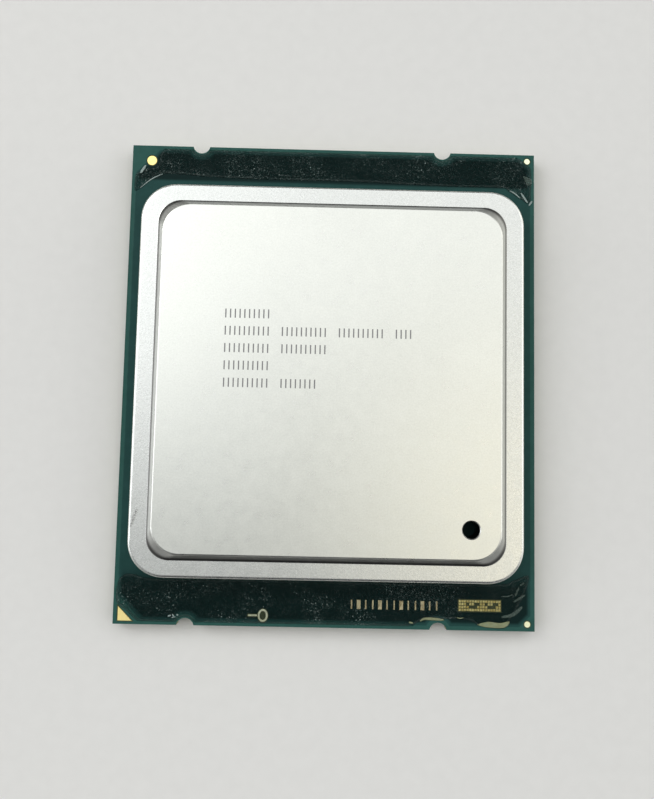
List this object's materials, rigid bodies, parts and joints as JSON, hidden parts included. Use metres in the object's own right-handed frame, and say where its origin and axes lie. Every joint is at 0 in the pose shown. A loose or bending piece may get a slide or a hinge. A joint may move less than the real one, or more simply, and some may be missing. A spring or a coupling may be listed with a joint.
{
  "type": "processor package",
  "caption": "Land grid array processor package: green laminate substrate, stepped nickel-plated heat spreader with a vent hole, keying notches and gold lands.",
  "frame": {"origin": "middle of the land side, on the flat solder-mask face that seats in the socket", "axes": "+Z away from the socket to the top of the heat spreader, +Y along the 52.5 mm length with the corner triangle at -X -Y, +X along the 45.0 mm width"},
  "size_m": [0.045, 0.0524, 0.0055],
  "materials": {
    "core_laminate": "woven glass and resin laminate, sawn edge",
    "build_up_resin": "dark resin film, matte",
    "copper": "etched copper sheet",
    "solder_mask": "dark green solder mask, semi-gloss",
    "gold_plate": "gold over nickel, satin",
    "tin_plate": "matte tin",
    "capacitor_ceramic": "fired tan ceramic",
    "silicon": "lapped silicon, dark grey mirror",
    "solder": "soft solder",
    "underfill_resin": "dark filled epoxy",
    "nickel_plate": "satin nickel plate on copper",
    "sealant": "cured silicone adhesive",
    "clear_film": "clear glossy lacquer film"
  },
  "bodies": {
    "root": {"substrate_core": "core_laminate", "upper_core_copper": "copper", "lower_core_copper": "copper", "upper_build_up": "build_up_resin", "lower_build_up": "build_up_resin", "upper_copper_plane": "copper", "upper_solder_mask": "solder_mask", "lower_solder_mask": "solder_mask", "contact_lands": "gold_plate", "pin_one_triangle": "gold_plate", "large_fiducial": "gold_plate", "small_fiducials": "gold_plate", "orientation_ring": "gold_plate", "orientation_dash": "gold_plate", "identification_bars": "gold_plate", "block_code_pads": "gold_plate", "land_side_bulk_capacitors": "capacitor_ceramic", "land_side_bulk_terminals": "tin_plate", "land_side_capacitors": "capacitor_ceramic", "land_side_terminals": "tin_plate", "die_side_capacitors": "capacitor_ceramic", "die_side_terminals": "tin_plate", "silicon_die": "silicon", "solder_bumps": "solder", "underfill": "underfill_resin", "solder_interface": "solder", "heat_spreader": "nickel_plate", "spreader_sealant": "sealant", "rear_clear_coating": "clear_film", "front_clear_coating": "clear_film"}
  },
  "joints": []
}
